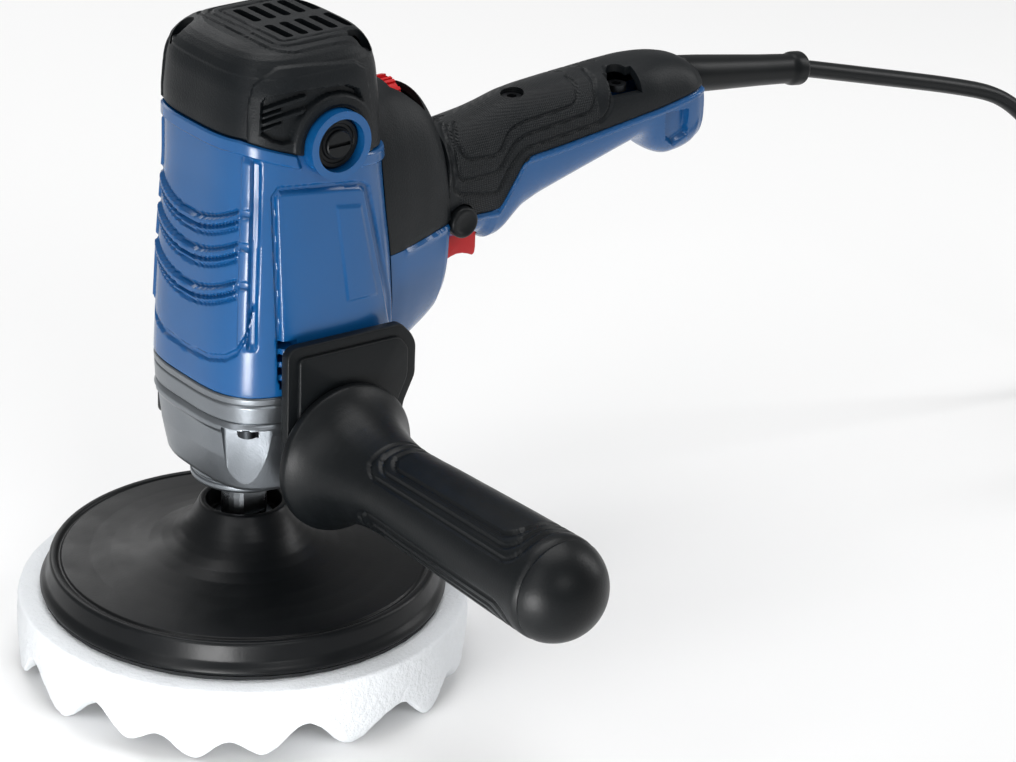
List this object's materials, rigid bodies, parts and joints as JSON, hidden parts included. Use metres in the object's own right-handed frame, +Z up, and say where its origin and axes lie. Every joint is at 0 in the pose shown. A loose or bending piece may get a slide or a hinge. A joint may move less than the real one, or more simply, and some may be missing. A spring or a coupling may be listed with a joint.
{
  "type": "rotary polisher",
  "caption": "Corded rotary polisher: blue vertical motor body over a geared spindle, black backing pad, white foam pad, rear grip with speed dial and trigger, side grip.",
  "frame": {"origin": "on the spindle axis, at the flat rubbing face of the foam pad that the tool stands on", "axes": "+Z up along the spindle towards the motor, +X towards the rear grip and the cord, -Y towards the side grip"},
  "size_m": [0.6391, 0.2741, 0.252],
  "materials": {
    "foam": "open-cell polyurethane foam, matte, waffle underside",
    "black_cloth": "hook-and-loop fastening sheet",
    "pad_rubber": "moulded black elastomer, satin",
    "steel": "machined steel",
    "copper": null,
    "carbon": "dark graphite and switch plastic",
    "brass": "drawn brass tube",
    "black_plastic": "fine sand texture, cool black",
    "blue_plastic": "smooth mid blue, semi-gloss",
    "red_plastic": "smooth red, semi-gloss",
    "cast_aluminium": "blasted die casting, satin grey",
    "circuit_board": "board with a potentiometer",
    "cord_rubber": "smooth black rubber sheath"
  },
  "bodies": {
    "body": {"bearing_collar": "cast_aluminium", "spindle_lower_bearing": "steel", "gearbox_housing": "cast_aluminium", "gearbox_ring": "cast_aluminium", "gearbox_screw_front_right": "steel", "gearbox_screw_front_left": "steel", "gearbox_screw_rear_right": "steel", "gearbox_screw_rear_left": "steel", "armature_lower_bearing": "steel", "armature_upper_bearing": "steel", "stator_core": "steel", "field_coil_front": "copper", "field_coil_rear": "copper", "carbon_brush_right": "carbon", "carbon_brush_left": "carbon", "brush_holder_right": "brass", "brush_holder_left": "brass", "brush_cap_right": "black_plastic", "brush_cap_left": "black_plastic", "motor_housing": "blue_plastic", "top_cover": "black_plastic", "cover_screw_front_left": "steel", "cover_screw_rear_right": "steel", "handle_upper_shell": "black_plastic", "handle_lower_shell": "blue_plastic", "trigger_switch": "carbon", "speed_module": "circuit_board", "handle_screw_front": "steel", "handle_screw_rear": "steel", "side_guard_right": "black_plastic", "side_guard_left": "black_plastic", "side_grip": "pad_rubber", "side_grip_stud": "steel", "strain_relief": "cord_rubber", "cord_lead": "cord_rubber", "cord_coil": "cord_rubber", "cord_tail": "cord_rubber", "cord_tie": "black_plastic", "plug_body": "cord_rubber", "plug_pin_right": "steel", "plug_pin_left": "steel"},
    "spindle_group": {"foam_pad": "foam", "hook_and_loop_disc": "black_cloth", "backing_pad": "pad_rubber", "pad_insert": "steel", "spindle": "steel", "output_gear": "steel"},
    "lay_group": {"lay_shaft": "steel", "lay_gear": "steel"},
    "armature_group": {"armature_shaft": "steel", "armature_core": "steel", "armature_winding_lower": "copper", "armature_winding_upper": "copper", "commutator": "copper", "cooling_fan": "black_plastic"},
    "trigger_group": {"trigger": "red_plastic"},
    "lock_group": {"lock_button": "black_plastic"},
    "dial_group": {"speed_dial": "red_plastic"}
  },
  "joints": [
    {"name": "spindle_spin", "type": "hinge", "parent": "body", "child": "spindle_group", "pos_m": [0, 0, 0.07], "axis": [0, 0, 1], "continuous": true},
    {"name": "lay_shaft_spin", "type": "hinge", "parent": "body", "child": "lay_group", "pos_m": [0.01514, 0.01596, 0.1], "axis": [0, 0, 1], "continuous": true},
    {"name": "armature_spin", "type": "hinge", "parent": "body", "child": "armature_group", "pos_m": [0.014, 0, 0.17], "axis": [0, 0, 1], "continuous": true},
    {"name": "trigger_slide", "type": "slide", "parent": "body", "child": "trigger_group", "axis": [0, 0, 1], "range_m": [0, 0.005], "stiffness_N_per_m": 1500},
    {"name": "lock_button_slide", "type": "slide", "parent": "body", "child": "lock_group", "axis": [0, 1, 0], "range_m": [0, 0.003], "stiffness_N_per_m": 1000},
    {"name": "speed_dial_turn", "type": "hinge", "parent": "body", "child": "dial_group", "pos_m": [0.0605, 0, 0.21], "axis": [1, 0, 0], "range_deg": [0, 280]}
  ],
  "couplings": [
    {"joint": "lay_shaft_spin", "follows": "spindle_spin", "ratio": -3},
    {"joint": "armature_spin", "follows": "spindle_spin", "ratio": 12}
  ]
}
